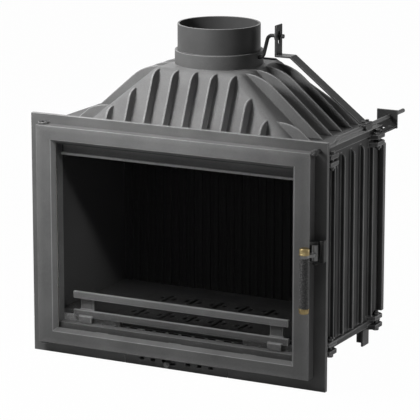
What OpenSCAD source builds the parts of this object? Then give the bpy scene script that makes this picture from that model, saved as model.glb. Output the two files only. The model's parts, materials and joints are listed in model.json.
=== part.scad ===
// Cast iron fireplace insert with a hinged glass door, a ribbed hood and a flue damper.
// Inside the modules y = 0 is the front face of the front frame, x = 0 the middle plane
// and z = 0 the lower edge of the front frame. Y runs back into the fireplace.
// in_place() then moves every piece so that the origin is the centre of the base.

/* [Front frame] */
// Width of the front frame
frame_w = 710; // [700:5:760]
// Height of the front frame
frame_h = 534; // [520:2:580]
// Thickness of the front frame
frame_t = 8; // [6:0.5:10]
// Strip of frame left beside the door
margin_side = 27; // [26:0.5:30]
// Strip of frame left above the door
margin_top = 20; // [17:1:24]
// Strip of frame left below the door
margin_bottom = 29; // [28:1:32]

/* [Door] */
// Depth of the door casting
door_d = 25; // [24:1:30]
// Gap between the closed door and the front frame, filled by the rope seal
door_gap = 1; // [0.6:0.1:1.6]
// Width of the door's side rails
side_rail_w = 43; // [40:1:50]
// Width of the door's top rail
top_rail_w = 37; // [35:1:44]
// Width of the door's bottom rail
bottom_rail_w = 34; // [33:1:36]
// Width of the bevel round the window, as seen from the front
bevel_w = 7; // [4:0.5:9]
// Thickness of the glass
glass_t = 4; // [3:0.5:5]
// Diameter of the hinge pins
hinge_pin_d = 8; // [6:0.5:9]

/* [Handle] */
// Distance of the grip's centre line in front of the front frame
grip_out = 50; // [48:1:60]
// Diameter of the grip sleeve
grip_d = 22; // [18:1:24]
// Length of the grip sleeve
grip_l = 107; // [80:1:130]
// Height of the top of the upper grip cap above the lower edge of the frame
grip_top = 321; // [300:1:345]
// Diameter of the latch pivot pin
latch_pin_d = 6; // [5:0.5:7]

/* [Body] */
// Depth of the insert from the front face to the rear face of the back wall
body_d = 333; // [325:1:380]
// Setback of the body's sides from the sides of the front frame
body_inset = 23; // [22:1:28]
// Height of the base plate's underside above the lower edge of the frame
base_z = 72; // [70:1:76]
// Drop from the top of the front frame to the top of the body
top_drop = 23; // [20:1:28]
// Thickness of the base plate and of the top plate
plate_t = 14; // [12:1:18]
// Thickness of the outer walls
wall_t = 10; // [8:1:12]
// Thickness of the inner lining plates
lining_t = 12; // [10:1:14]
// Height of the feet under the base plate
foot_h = 47.5; // [44:0.5:60]

/* [Wall fins] */
// Number of fins on each side wall
fin_count = 5; // [3:1:6]
// Distance from the front face to the first fin
fin_first = 78; // [70:1:90]
// How far a fin stands out of the wall
fin_out = 10; // [6:0.5:12]
// Thickness of a fin
fin_t = 5; // [4:0.5:7]

/* [Hood] */
// Height of the hood above the top plate
hood_h = 129; // [115:1:150]
// Half width of the hood at its foot
hood_foot_x = 249; // [240:1:262]
// Thickness of the hood's wall
hood_t = 8; // [6:0.5:10]
// Distance between the fins on the front slope
hood_pitch = 46.2; // [42:0.1:50]
// How far a front fin stands out, measured level
front_fin_out = 23; // [16:1:28]
// How far a side fin stands out, measured level
side_fin_out = 38; // [24:1:42]

/* [Flue] */
// Outer diameter of the flue spigot
spigot_d = 180; // [150:1:184]
// Wall thickness of the flue spigot
spigot_t = 4; // [3:0.5:5]
// Height of the spigot above the collar
spigot_h = 57; // [45:1:80]
// Width of the collar's ring outside the spigot
collar_rim = 6; // [5:0.5:8]
// Height of the collar
collar_h = 31; // [30:1:36]
// Distance from the front face to the flue's centre line
flue_y = 202; // [198:1:210]

/* [Damper] */
// Diameter of the damper shaft
shaft_d = 8; // [7:0.5:9]
// Length of the damper crank
crank_r = 52; // [46:1:54]
// Backward lean of the crank as drawn, in degrees
crank_lean = 30; // [26:1:34]
// Diameter of the damper rod
rod_d = 9; // [8:0.5:10]
// Width of the steel strip that joins the rod to the crank
strip_w = 30; // [26:1:34]

/* [Grate] */
// Distance between the groups of slots, both ways
slot_pitch = 63.5; // [60:0.5:66]
// Length of the long slot in each group
slot_l = 50; // [40:1:56]
// Width of a slot
slot_gap = 8; // [6:0.5:10]

/* [Air control] */
// Distance between the air holes
hole_pitch = 27.5; // [26:0.5:29]
// Width of an air hole
hole_w = 11.5; // [9:0.5:12]
// Travel of the air slider
slide_travel = 14; // [13:0.1:15]

/* [Hidden] */
$fn = 64;

// Clearance on the radius of a turning or sliding fit, of a bolt hole and of loose pieces
run = 0.05;
bolt_play = 0.3;
gap = 0.3;
big = 1000;

// Front frame and door
door_x = frame_w / 2 - margin_side;
door_z0 = margin_bottom;
door_z1 = frame_h - margin_top;
door_back = -door_gap;
door_front = door_back - door_d;
win_x = door_x - side_rail_w;
win_z0 = door_z0 + bottom_rail_w;
win_z1 = door_z1 - top_rail_w;

// Glass, its seal and its clips, from the front to the back of the door's rebate
glass_lap = 8.5;
rebate_out = glass_lap + 1;
step_out = 16.3;
clip_in = 2;
clip_w = 30;
clip_t = 3;
clip_up = 130;
clip_side = 180;
clip_screw_out = 13;
clip_screw_d = 3.6;
rebate_y = door_back - 12;
glass_seal_t = 2.8;
glass_y = rebate_y + glass_seal_t;
step_y = glass_y + glass_t;
rope_out = 19;
rope_w = 8;
rope_groove = 7;
bevel_d = 9;

// Body
half = frame_w / 2 - body_inset;
wall_x = half - 4;
back_x = half + 8;
back_t = 12;
back_y = body_d - back_t;
base_top = base_z + plate_t;
hearth_t = 10;
hearth_z = base_top + hearth_t;
top_z = frame_h - top_drop;
plate_z = top_z - plate_t;

// Rim round the back of the front frame
rim_w = 7;
rim_t = 2;

// Throat: the collar of the front frame that the door closes
throat_x = win_x + 5;
throat_z = win_z1 - 7;
throat_t = 8;
throat_d = 14;
throat_y = frame_t + throat_d;
lining_x = throat_x + throat_t;
lining_y = throat_y + 2;
lining_top = throat_z;
tooth_pitch = 32;
tooth_w = 6;
air_slot_x = 150;
air_slot_w = 8;
wash_drop = 25;
wash_t = 5;
wall_fin_z0 = base_top + 6;
wall_fin_z1 = plate_z - 23;
fin_pitch = (back_y - fin_first) / fin_count;
back_fin_pitch = wall_x / 4;

// Corner lugs and their bolts
lug_t = 10;
lug_out = 15;
lug_half = 28;
lug_tip = 18;
lug_front_y = 56;
lug_rear_y = back_y - 29;
bolt_d = 8;
bolt_head = 5.5;
bolt_end = 4;
hex_w = 13;
bolt_x = half + 7;
low_wall_lug = base_top + gap;
low_plate_lug = base_z - 5;
high_wall_lug = plate_z - 23;
high_plate_lug = plate_z - 7;
tab_x = 170;
tab_t = 12;
tab_side_x = (lining_x + wall_x - wall_t) / 2 + 2;
tab_y = throat_y - 1;

// Linings, baffle and hearth
rib_pitch = 20;
rib_w = 8;
rib_d = 5;
lining_back_y = back_y - gap - lining_t;
ledge = 12;
baffle_z = lining_top - 15;
baffle_t = 8;
baffle_front = 95;
slit_pitch = 90;
slit_l = 22;

// Hood, measured from the flue's centre line and from the top plate
foot_front = flue_y - 41;
foot_back = body_d - flue_y - 21;
front_lean = 0.45;
side_lean = 1.15;
top_step = 1.5;
neck_h = 10;
hip_r = 20;
corner_r = 24;
hip_z = hood_h - top_step - hip_r;
mid_rise = 0.65;
low_rise = 0.34;
first_rise = 40;
front_curl = 16;
side_curl = 28;
back_flange_x = hood_foot_x + 61;
back_flange_lean = 1.755;
back_flange_t = 6;
opening_x = hood_foot_x - 55;
opening_front = foot_front - 33;
opening_back = foot_back - 32;
pad_x = opening_x + 17;
pad_front = opening_front + 11;
pad_back = opening_back + 10;
pad_h = 16;
pad_half = 15;

// Flue and damper
spigot_r = spigot_d / 2;
ring_r = spigot_r + collar_rim;
bore_r = spigot_r - spigot_t;
collar_z = top_z + hood_h;
seat_d = 3;
foot_r = spigot_r - 2;
spigot_z = collar_z + collar_h;
shaft_z = collar_z + 20;
disc_r = spigot_r - 14;
disc_t = 4;
closed_tilt = 10;
end_lean = 40;
disc_tilt = closed_tilt + end_lean - crank_lean;
boss_r = 8;
boss_x = 60;
crank_x = ring_r + 10;
bend_r = 9;
strip_t = 4;
strip_x = crank_x + 24;
pin_d = 6.4;
pin_out = 37;
pin_head = 5;
washer_r = 12;
washer_t = 2.5;
washer_x = strip_x - strip_t / 2 - washer_t - 0.5;
pin_y = flue_y + crank_r * sin(crank_lean);
pin_z = shaft_z + crank_r * cos(crank_lean);
slot_play = 1.5;
slot_w = pin_d + 2 * slot_play;
slot_z0 = shaft_z + crank_r * cos(end_lean) - slot_w / 2 - 8.3;
slot_z1 = shaft_z + crank_r + slot_w / 2 + 2.3;
strip_low = shaft_z + 3;
strip_top = slot_z1 + 11;

// Damper rod: a straight front end, a joggle behind the frame and a straight rear end
rod_x = half + 4.5;
rod_front_z = frame_h - 18;
rod_z = rod_front_z + 10;
rod_hole = 0.4;
knob_y = -30;
knob_l = 15;
knob_r = 7;
rod_travel = crank_r * (sin(end_lean) + sin(crank_lean));
joggle_0 = frame_t + rod_travel + 3.6;
joggle_1 = joggle_0 + 24;
rod_end = body_d + 97;
bracket_y = body_d + 24;
bracket_t = 4;
bracket_w = 48;
bracket_h = 40;
bracket_in = 30.5;
bracket_foot = 18;
clamp_w = 20;
clamp_wall = 2;

// Handle and latch
latch_x = door_x + 9;
latch_y = door_back - 17;
grip_x = latch_x - 9;
cap_top_h = 15;
cap_low_h = 12;
core_d = 8;
eye_t = 7;
eye_z = grip_top - cap_top_h - eye_t;
sleeve_z = eye_z - grip_l;
hub_r = 7.5;
arm_r = 5.5;
elbow_r = 6;
elbow_out = 16;
hub_z0 = eye_z - 11;
hub_z1 = eye_z + 23;
ear_t = 6;
nose_r = 2.5;
nose_reach = 14.5;
nose_angle = 66.5;
nose_z = hub_z0 + 4;
nose_h = 12;
lip_x = latch_x + 9.5;
lip_y = latch_y + 6.5;
lip_t = 4;
keeper_z0 = hub_z0 - 4;
keeper_z1 = hub_z1 + 8;

// Hinge
hinge_x = -door_x + 10;
hinge_y = door_back - 14;
hinge_edge_r = 14.5;
lug_plate_t = 5;
lug_gap = 0.5;
pin_in = 30;

// Air control
hole_z = 15.7;
hole_h = 6;
hole_first = 29;
air_knob_x = -18;
air_knob_z = 12.5;
air_stem_r = 2.5;
panel_x = 124.5;
panel_top = margin_bottom - 2;
slit = 0.8;
slider_t = 3;
slider_x = hole_first + 2 * hole_pitch + hole_w / 2 + 10;
duct_x = panel_x + 6;
duct_z = 4;
duct_t = 2;
duct_back = throat_y + 12;
rail_h = 2.5;

// Grate, ash opening and ash box
grate_x = 2.5 * slot_pitch + 15;
grate_mid = lining_y + 112.5;
grate_half = slot_pitch + slot_l / 2 + 13;
slot_step = slot_pitch / 4;
grate_ledge = 12;
ash_x = grate_x - grate_ledge;
ash_half = grate_half - grate_ledge;
ash_t = 3;
ash_z = base_z - 36;
pan_play = 6;
pan_h = 28;
pan_t = 1.5;

// Log guard
guard_x = throat_x - 28;
guard_y = throat_y - 9;
guard_t = 8;
guard_block = 32;
guard_end = 15;
guard_up = 29.5;
guard_low = 12.5;
guard_bar_h = 16.5;

// The whole object from its foremost to its rearmost point, to centre the origin
front_reach = grip_out + grip_d / 2 + 0.5;
rear_reach = rod_end;
module in_place() {
    translate([0, (front_reach - rear_reach) / 2, 0]) children();
}

iron = [0.24, 0.24, 0.25];
light_iron = [0.33, 0.33, 0.34];
steel = [0.42, 0.42, 0.43];
brass = [0.62, 0.48, 0.24];
rope = [0.72, 0.7, 0.64];

// A box from its lowest corner to its highest corner
module box(a, b) {
    translate(a) cube(b - a);
}

// The same shape on both sides of the middle plane
module both() {
    children();
    mirror([1, 0, 0]) children();
}

// An upright rectangular ring round the window, from in to out beyond the window's edge
module window_ring(in, out, y0, y1) {
    difference() {
        window_block(out, y0, y1);
        window_block(in, y0 - 1, y1 + 1);
    }
}

module window_block(out, y0, y1) {
    box([-win_x - out, y0, win_z0 - out], [win_x + out, y1, win_z1 + out]);
}

// A plane strut between two points with square ends
module strut(a, b, r) {
    d = b - a;
    translate(a) rotate(atan2(d[1], d[0])) translate([0, -r]) square([norm(d), 2 * r]);
}

// A plane link between two points with round ends
module link(a, b, r) {
    translate(a) circle(r);
    translate(b) circle(r);
    strut(a, b, r);
}

// A profile drawn in the y-z plane and made t thick about x
module slab_yz(x, t) {
    translate([x - t / 2, 0, 0]) rotate([90, 0, 90]) linear_extrude(t) children();
}

// A profile drawn in the x-z plane and made t thick about y
module slab_xz(y, t) {
    translate([0, y + t / 2, 0]) rotate([90, 0, 0]) linear_extrude(t) children();
}

// Bolt head or nut, with one of its flats towards the wall
module hexagon(h) {
    rotate(30) cylinder(d = hex_w / cos(30), h = h, $fn = 6);
}

// Bolt with its head below z = 0 and a shank of length l above it
module bolt(l) {
    translate([0, 0, -bolt_head]) hexagon(bolt_head);
    translate([0, 0, -1]) cylinder(d = bolt_d, h = l + 1);
}

// Round bar of diameter w between two points, with round ends of diameter d
module bar(a, b, d, w) {
    v = b - a;
    translate(a) sphere(d = d);
    translate(b) sphere(d = d);
    translate(a)
        rotate([0, acos(v[2] / norm(v)), atan2(v[1], v[0])])
            cylinder(d = w, h = norm(v));
}

// Points on a curve of the second degree from a to c, drawn towards b
function bend(a, b, c, n) = [for (i = [1 : n])
    let (t = i / n) (1 - t) * (1 - t) * a + 2 * t * (1 - t) * b + t * t * c];

module front_frame() {
    color(iron) difference() {
        union() {
            box([-frame_w / 2, 0, 0], [frame_w / 2, frame_t, frame_h]);
            box([-lining_x, 0, base_z - throat_t], [lining_x, throat_y, throat_z + throat_t]);
            frame_tabs();
            bearing_rim();
        }
        box([-throat_x, -1, base_z], [throat_x, throat_y + 1, throat_z]);
        box([-panel_x - slit, -1, -1], [panel_x + slit, frame_t + 1, panel_top + slit]);
        translate([rod_x, -1, rod_front_z])
            rotate([-90, 0, 0]) cylinder(d = rod_d + rod_hole, h = frame_t + 2);
        frame_bolt_places() cylinder(d = bolt_d + 2 * bolt_play, h = tab_t + 20, center = true);
    }
    color(light_iron) threshold_teeth();
}

// Rim round the back of the frame that bears on the surround, open below for the air duct
module bearing_rim() {
    difference() {
        box([-frame_w / 2, frame_t - 1, 0], [frame_w / 2, frame_t + rim_t, frame_h]);
        box([-frame_w / 2 + rim_w, frame_t - 2, rim_w],
            [frame_w / 2 - rim_w, frame_t + rim_t + 1, frame_h - rim_w]);
        box([-duct_x - rim_w, frame_t - 2, -1], [duct_x + rim_w, frame_t + rim_t + 1, rim_w + 1]);
    }
}

// Small lugs on the threshold that keep the air slot clear of ash
module threshold_teeth() {
    for (i = [-8 : 8]) {
        w = abs(i) == 3 ? 3 * tooth_w : tooth_w;
        box([i * tooth_pitch - w / 2, throat_y - 5, base_z - 1],
            [i * tooth_pitch + w / 2, throat_y, base_z + 2.5]);
    }
}

// Tabs behind the frame, under the top plate and under the base plate
module frame_tabs() {
    both() {
        box([tab_x - 18, frame_t - 1, plate_z - tab_t], [tab_x + 18, tab_y + 9, plate_z]);
        box([tab_side_x - 11, frame_t - 1, base_z - tab_t], [tab_side_x + 11, tab_y + 9, base_z]);
    }
}

// Middle of each tab's bolt hole, at the tab's underside
module frame_bolt_places() {
    both() {
        translate([tab_x, tab_y, plate_z - tab_t]) children();
        translate([tab_side_x, tab_y, base_z - tab_t]) children();
    }
}

module frame_bolts() {
    color(steel) frame_bolt_places() bolt(tab_t + 9);
}

// Lug outside one corner of the body, with its bolt hole, rising from z
module corner_lug(y, z, inside) {
    translate([0, 0, z]) linear_extrude(lug_t) difference() {
        polygon([[inside, y - lug_half], [half, y - lug_half], [half + lug_out, y - lug_tip],
            [half + lug_out, y + lug_tip], [half, y + lug_half], [inside, y + lug_half]]);
        translate([bolt_x, y]) circle(d = bolt_d + 2 * bolt_play);
    }
}

module corner_lugs(z, inside) {
    corner_lug(lug_front_y, z, inside);
    corner_lug(lug_rear_y, z, inside);
}

module base_plate() {
    color(iron) difference() {
        union() {
            box([-half, frame_t, base_z], [half, body_d, base_top]);
            both() corner_lugs(low_plate_lug, wall_x + gap);
        }
        box([-lining_x, 0, base_z - 1], [lining_x, throat_y, base_top + 1]);
        air_slot();
        box([-ash_x, grate_mid - ash_half, base_z - 1], [ash_x, grate_mid + ash_half, base_top + 1]);
        both() translate([tab_side_x, tab_y, base_z - 1])
            cylinder(d = bolt_d + 2 * run, h = 12);
    }
}

// Slot behind the threshold, through which the combustion air rises
module air_slot() {
    box([-air_slot_x, throat_y - 1, 0], [air_slot_x, throat_y + air_slot_w, hearth_z + 1]);
}

module top_plate() {
    color(iron) difference() {
        union() {
            box([-half, frame_t, plate_z], [half, body_d, top_z]);
            both() corner_lugs(high_plate_lug, wall_x + gap);
        }
        box([-opening_x, flue_y - opening_front, plate_z - 1],
            [opening_x, flue_y + opening_back, top_z + 1]);
        both() translate([tab_x, tab_y, plate_z - 1])
            cylinder(d = bolt_d + 2 * run, h = 12);
        hood_bolt_places() cylinder(d = bolt_d + 2 * bolt_play, h = 60, center = true);
    }
}

// Places of the bolts that hold the hood, at the underside of the top plate
module hood_bolt_places() {
    both() {
        translate([pad_x, flue_y - pad_front, plate_z]) children();
        translate([pad_x, flue_y + pad_back, plate_z]) children();
    }
}

module hood_bolts() {
    color(steel) hood_bolt_places() bolt(plate_t + 10);
}

// Profile of a wall fin: it starts above the base plate and curves into the wall at its top
module wall_fin() {
    polygon(concat([[-1, wall_fin_z0], [fin_out, wall_fin_z0]],
        [[fin_out, wall_fin_z1]],
        bend([fin_out, wall_fin_z1], [fin_out, wall_fin_z1 + 12], [0, wall_fin_z1 + 13], 5),
        [[-1, wall_fin_z1 + 13]]));
}

module side_wall() {
    color(iron) {
        box([wall_x - wall_t, frame_t, base_top], [wall_x, back_y, plate_z]);
        for (i = [0 : fin_count - 1])
            slab_xz(fin_first + i * fin_pitch, fin_t) translate([wall_x, 0]) wall_fin();
        corner_lugs(low_wall_lug, wall_x - 1);
        corner_lugs(high_wall_lug, wall_x - 1);
    }
}

module side_wall_right() side_wall();
module side_wall_left() mirror([1, 0, 0]) side_wall();

module back_wall() {
    color(iron) {
        box([-wall_x, back_y, base_top], [wall_x, body_d, plate_z]);
        both() box([wall_x - 1, back_y, low_wall_lug + lug_t + 1],
            [back_x, body_d, high_wall_lug - 1]);
        for (i = [-3 : 3])
            slab_yz(i * back_fin_pitch, fin_t) translate([body_d, 0]) wall_fin();
    }
}

// Centre of each corner bolt
module bolt_places() {
    both() for (y = [lug_front_y, lug_rear_y]) translate([bolt_x, y, 0]) children();
}

// The rear right bolt also holds the rod bracket
module top_bolt(extra) {
    z = high_plate_lug + lug_t + extra;
    translate([0, 0, z]) mirror([0, 0, 1]) bolt(z - high_wall_lug + bolt_head + bolt_end);
}

module corner_bolts() {
    color(steel) {
        bolt_places() translate([0, 0, low_plate_lug])
            bolt(low_wall_lug + lug_t - low_plate_lug + bolt_head + bolt_end);
        translate([-bolt_x, lug_front_y, 0]) top_bolt(0);
        translate([-bolt_x, lug_rear_y, 0]) top_bolt(0);
        translate([bolt_x, lug_front_y, 0]) top_bolt(0);
        translate([bolt_x, lug_rear_y, 0]) top_bolt(bracket_t);
    }
}

module corner_nuts() {
    color(steel) bolt_places() for (z = [low_wall_lug + lug_t, high_wall_lug - bolt_head])
        translate([0, 0, z]) difference() {
            hexagon(bolt_head);
            translate([0, 0, -1]) cylinder(d = bolt_d + 2 * run, h = bolt_head + 2);
        }
}

// L-section foot, open towards the middle of the base
module foot() {
    box([wall_x - wall_t - 5, 0, base_z - foot_h], [wall_x - wall_t, 32, base_z]);
    box([wall_x - wall_t - 28, 27, base_z - foot_h], [wall_x - wall_t, 32, base_z]);
}

module feet() {
    color(iron) both() {
        translate([0, back_y - 49, 0]) foot();
        translate([0, 68, 0]) mirror([0, 1, 0]) foot();
    }
}

module side_lining() {
    color(iron) {
        box([lining_x, lining_y, hearth_z], [lining_x + lining_t, lining_back_y - gap, lining_top]);
        box([lining_x - ledge, baffle_front, baffle_z - 10],
            [lining_x + 1, lining_back_y - gap, baffle_z]);
    }
}

module side_lining_right() side_lining();
module side_lining_left() mirror([1, 0, 0]) side_lining();

// Ribbed plate in front of the back wall, one profile from the hearth to the baffle
module back_lining() {
    rib_count = floor((lining_x - 12) / rib_pitch);
    color(iron) translate([0, 0, hearth_z]) linear_extrude(baffle_z - gap - hearth_z) {
        translate([-lining_x - lining_t, lining_back_y])
            square([2 * (lining_x + lining_t), lining_t]);
        for (i = [-rib_count : rib_count])
            translate([i * rib_pitch - rib_w / 2, lining_back_y - rib_d])
                square([rib_w, rib_d + 1]);
    }
}

module baffle_plate() {
    color(iron) difference() {
        box([-lining_x + 2, baffle_front + 2, baffle_z],
            [lining_x - 2, lining_back_y + lining_t, baffle_z + baffle_t]);
        for (i = [-2 : 2])
            box([i * slit_pitch - 2, lining_back_y - slit_l - ledge, baffle_z - 1],
                [i * slit_pitch + 2, lining_back_y - ledge, baffle_z + baffle_t + 1]);
    }
}

// Deflector that sends air down behind the glass
module air_wash_bar() {
    bar_x = throat_x - 2;
    color(iron) {
        box([-bar_x, frame_t + 4, throat_z - wash_drop], [bar_x, throat_y + wash_t, throat_z - wash_drop + wash_t]);
        box([-bar_x, throat_y, throat_z - wash_drop + 1], [bar_x, throat_y + wash_t, throat_z + throat_t]);
    }
}

module hearth_plate() {
    color(iron) difference() {
        box([-lining_x - lining_t, lining_y, base_top],
            [lining_x + lining_t, lining_back_y + lining_t, hearth_z]);
        box([-grate_x - gap, grate_mid - grate_half - gap, base_top - 1],
            [grate_x + gap, grate_mid + grate_half + gap, hearth_z + 1]);
        air_slot();
    }
}

// One group of slots: a short, a long and a short one
module slot_group() {
    for (k = [-1 : 1]) {
        l = k == 0 ? slot_l : slot_l * 0.36;
        translate([k * slot_step, 0]) link([0, -l / 2 + slot_gap / 2], [0, l / 2 - slot_gap / 2], slot_gap / 2);
    }
}

module grate() {
    color(iron) translate([0, grate_mid, base_top + gap])
        linear_extrude(hearth_t - gap) difference() {
            translate([-grate_x, -grate_half]) square([2 * grate_x, 2 * grate_half]);
            for (i = [-2 : 2], j = [-1 : 1])
                translate([i * slot_pitch, j * slot_pitch]) slot_group();
        }
}

module ash_box() {
    x = ash_x + ash_t;
    y = ash_half + ash_t;
    color(steel) translate([0, grate_mid, 0]) difference() {
        box([-x, -y, ash_z], [x, y, base_z]);
        box([-x + ash_t, -y + ash_t, ash_z + ash_t], [x - ash_t, y - ash_t, base_z + 1]);
    }
}

module ash_pan() {
    x = ash_x - pan_play;
    y = ash_half - pan_play;
    z = ash_z + ash_t;
    color(steel) translate([0, grate_mid, z])
        difference() {
            box([-x, -y, 0], [x, y, pan_h]);
            box([-x + pan_t, -y + pan_t, pan_t], [x - pan_t, y - pan_t, pan_h + 1]);
        }
}

module air_duct() {
    x = duct_x;
    color(steel) difference() {
        union() {
            box([-x, frame_t, duct_z], [x, duct_back, base_z - throat_t]);
            box([-x, throat_y, duct_z], [x, duct_back, base_z]);
        }
        box([-x + duct_t, frame_t - 1, duct_z + duct_t], [x - duct_t, duct_back - duct_t, panel_top]);
        box([-x + duct_t, frame_t + duct_t, duct_z + duct_t],
            [x - duct_t, duct_back - duct_t, base_z - throat_t - duct_t]);
        box([-x + duct_t, throat_y, duct_z + duct_t], [x - duct_t, duct_back - duct_t, base_z + 1]);
    }
}

module hole_row() {
    for (s = [-1, 1], i = [0 : 2])
        translate([s * (hole_first + i * hole_pitch), hole_z]) square([hole_w, hole_h], center = true);
}

module air_panel() {
    a = [air_knob_x, air_knob_z];
    b = [air_knob_x + slide_travel, air_knob_z];
    color(iron) {
        slab_xz(frame_t / 2, frame_t) difference() {
            translate([-panel_x, 0]) square([2 * panel_x, panel_top]);
            hole_row();
            link(a, b, air_stem_r + 0.7);
        }
        for (z = [duct_z + duct_t + gap, panel_top - rail_h - 1])
            box([-slider_x - slide_travel, frame_t, z],
                [slider_x + slide_travel, frame_t + slider_t + 2 * gap, z + rail_h]);
    }
}

module air_slider() {
    z0 = duct_z + duct_t + rail_h + 2 * gap;
    z1 = panel_top - rail_h - 1 - gap;
    color(steel) slab_xz(frame_t + gap + slider_t / 2, slider_t) difference() {
        translate([-slider_x, z0]) square([2 * slider_x, z1 - z0]);
        hole_row();
    }
}

module air_knob() {
    color(light_iron) translate([air_knob_x, frame_t + gap, air_knob_z])
        rotate([90, 0, 0]) rotate_extrude() polygon(concat(
            [[0, 0], [air_stem_r, 0], [air_stem_r, frame_t + 4], [5, frame_t + 5], [6.75, frame_t + 9]],
            bend([6.75, frame_t + 9], [6.75, frame_t + 14], [0, frame_t + 14], 5)));
}

// Outline of a hood fin in run and height: foot is the wall's place at the top plate, lean
// the run for each unit of height, out the fin's reach, rise its tip's height and curl the
// height of its rounded end. The inner edge lies inside the hood's wall.
function fin_outline(foot, lean, out, rise, curl, depth) = concat(
    [[foot - depth, 0], [foot + out, 0], [foot + out - lean * (rise - curl), rise - curl]],
    bend([foot + out - lean * (rise - curl), rise - curl],
        [foot + out - lean * (rise - 1), rise - 1],
        [foot - lean * rise, rise], 6),
    [[foot - lean * rise - depth, rise - 3]]);

// Reach of a sloping side at height z, moved in by r square to the slope
function slope_at(reach, lean, z, r) = reach - lean * z - r * sqrt(1 + lean * lean);

// Solid form of the hood with round corners, shrunk by t on every side
module hood_form(t) {
    r = corner_r - t;
    x = slope_at(hood_foot_x, side_lean, 0, t) - r;
    front = slope_at(foot_front, front_lean, 0, t) - r;
    hip_x = slope_at(hood_foot_x, side_lean, hip_z, hip_r);
    hip_front = slope_at(foot_front, front_lean, hip_z, hip_r);
    hull($fn = 32) {
        for (s = [-1, 1], y = [-front, foot_back - t - r])
            translate([s * x, y, -1]) cylinder(r = r, h = 1);
        for (s = [-1, 1], y = [-hip_front, foot_back - hip_r])
            translate([s * hip_x, y, hip_z]) sphere(hip_r - t);
    }
}

// Upright plate that closes the back of the hood and reaches past its sides
module back_flange() {
    top_x = back_flange_x - back_flange_lean * hood_h;
    slab_xz(foot_back - back_flange_t / 2, back_flange_t)
        polygon([[-back_flange_x, 0], [-top_x, hood_h], [top_x, hood_h], [back_flange_x, 0]]);
}

module front_fin(x, rise, curl) {
    slab_yz(x, fin_t) polygon([for (p = fin_outline(foot_front, front_lean, front_fin_out,
        rise, curl, 8)) [-p[0], p[1]]]);
}

module side_fin(y, rise, curl) {
    slab_xz(y, fin_t) polygon(fin_outline(hood_foot_x, side_lean, side_fin_out, rise, curl, 6));
}

module hood() {
    color(light_iron) translate([0, flue_y, top_z]) difference() {
        union() {
            difference() {
                union() {
                    hood_form(0);
                    translate([0, 0, hood_h - neck_h]) cylinder(r = ring_r + 1, h = neck_h);
                    back_flange();
                    for (k = [-2 : 2]) front_fin(k * hood_pitch, hood_h - 3, front_curl);
                    both() {
                        front_fin(3 * hood_pitch, hood_h * mid_rise, front_curl);
                        front_fin(4 * hood_pitch, hood_h * low_rise, front_curl);
                        side_fin(fin_first - flue_y, first_rise, front_curl);
                        for (i = [1 : fin_count - 1])
                            side_fin(fin_first + i * fin_pitch - flue_y, hood_h - 2, side_curl);
                    }
                }
                translate([0, 0, -big]) cylinder(r = big, h = big);
                hood_form(hood_t);
            }
            intersection() {
                hood_form(0);
                both() for (y = [-pad_front, pad_back])
                    box([pad_x - 11, y - pad_half, 0], [pad_x + 14, y + pad_half, pad_h]);
            }
        }
        translate([0, 0, hood_h - hood_t - 20]) cylinder(r = bore_r, h = hood_t + 21);
        both() for (y = [-pad_front, pad_back])
            translate([pad_x, y, -1]) cylinder(d = bolt_d + 2 * run, h = 12);
    }
}

module flue_collar() {
    color(iron) translate([0, flue_y, collar_z]) difference() {
        cylinder(r = ring_r, h = collar_h);
        translate([0, 0, -1]) cylinder(r = bore_r, h = collar_h + 2);
        translate([0, 0, collar_h - seat_d]) cylinder(r = foot_r + run, h = seat_d + 1);
        translate([-ring_r - 1, 0, shaft_z - collar_z])
            rotate([0, 90, 0]) cylinder(d = shaft_d + 2 * run, h = 2 * ring_r + 2);
    }
}

// Stands on the collar by its shoulder, with a thinner foot in the collar's seat
module flue_spigot() {
    color(iron) translate([0, flue_y, spigot_z]) difference() {
        union() {
            cylinder(r = spigot_r, h = spigot_h);
            translate([0, 0, -seat_d]) cylinder(r = foot_r, h = seat_d + 1);
        }
        translate([0, 0, -seat_d - 1]) cylinder(r = bore_r, h = spigot_h + seat_d + 2);
    }
}

// Quarter bend of the crank, from angle a on
module crank_bend(a) {
    rotate([90, 0, 0]) rotate(a) rotate_extrude(angle = 90) translate([bend_r, 0]) circle(d = shaft_d);
}

module along_x(d, l) {
    rotate([0, 90, 0]) cylinder(d = d, h = l);
}

// Round steel bar: the shaft through the collar, the bent crank and the pin in the slot
module damper_shaft() {
    color(steel) translate([0, flue_y, shaft_z]) rotate([-crank_lean, 0, 0]) {
        translate([-ring_r - 8, 0, 0]) along_x(shaft_d, ring_r + 8 + crank_x - bend_r);
        translate([crank_x - bend_r, 0, bend_r]) crank_bend(-90);
        translate([crank_x, 0, bend_r]) cylinder(d = shaft_d, h = crank_r - 2 * bend_r);
        translate([crank_x + bend_r, 0, crank_r - bend_r]) crank_bend(90);
        translate([crank_x + bend_r, 0, crank_r]) along_x(shaft_d, washer_x - crank_x - bend_r);
        translate([crank_x + bend_r, 0, crank_r]) along_x(pin_d, pin_out - bend_r);
        translate([crank_x + pin_out - pin_head, 0, crank_r]) along_x(pin_d + 3, pin_head);
    }
}

module crank_washer() {
    color(steel) translate([washer_x, pin_y, pin_z]) rotate([0, 90, 0]) difference() {
        cylinder(r = washer_r, h = washer_t);
        translate([0, 0, -1]) cylinder(d = pin_d + 2 * run, h = washer_t + 2);
    }
}

module damper_plate() {
    color(iron) translate([0, flue_y, shaft_z]) rotate([disc_tilt, 0, 0]) difference() {
        union() {
            translate([0, 0, -disc_t / 2]) cylinder(r = disc_r, h = disc_t);
            translate([-boss_x, 0, 0]) rotate([0, 90, 0]) cylinder(r = boss_r, h = 2 * boss_x);
        }
        translate([-big, 0, 0]) rotate([0, 90, 0]) cylinder(d = shaft_d + 2 * run, h = 2 * big);
        damper_screw_places() cylinder(d = 4 + 2 * run, h = boss_r + 1);
    }
}

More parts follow.
